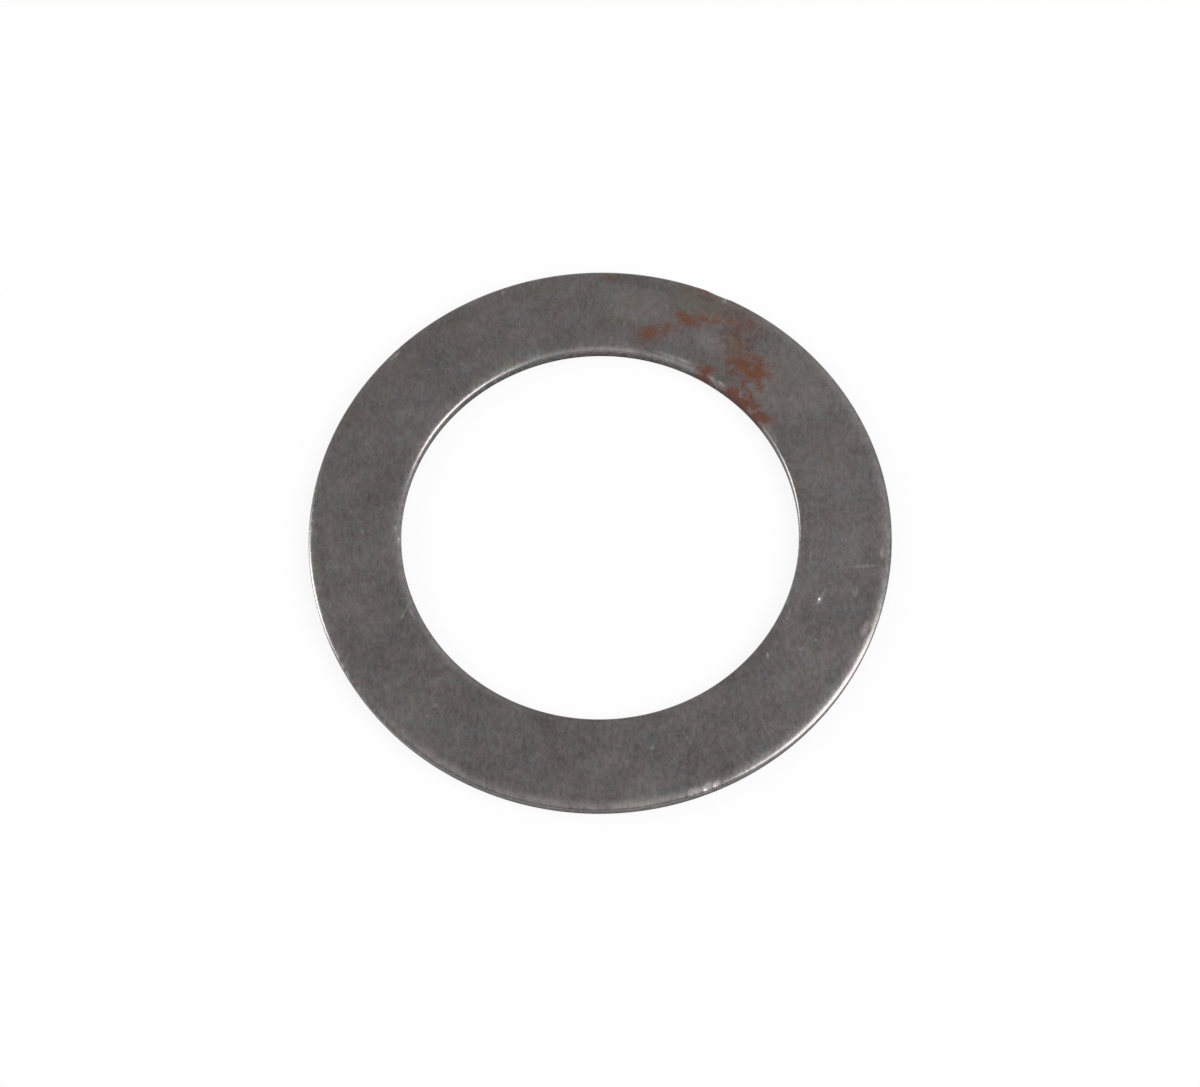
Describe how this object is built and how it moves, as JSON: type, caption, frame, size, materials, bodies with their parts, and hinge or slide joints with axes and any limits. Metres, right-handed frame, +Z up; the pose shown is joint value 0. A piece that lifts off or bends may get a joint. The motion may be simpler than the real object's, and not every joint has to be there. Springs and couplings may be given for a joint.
{
  "type": "spacer washer",
  "caption": "Thin flat steel ring with a wide round bore, slid on a shaft to take up end play and space parts apart.",
  "frame": {"origin": "centre of the ring, on the surface that its lower face lies on", "axes": "+Z up along the bore's axis, out of the face whose edges are rolled over; X and Y lie in the ring's plane"},
  "size_m": [0.0476, 0.0476, 0.0012],
  "materials": {
    "bare_steel": "satin mill finish, dark warm grey, with handling scratches and a few spots of rust"
  },
  "bodies": {
    "root": {"washer_ring": "bare_steel"}
  },
  "joints": []
}
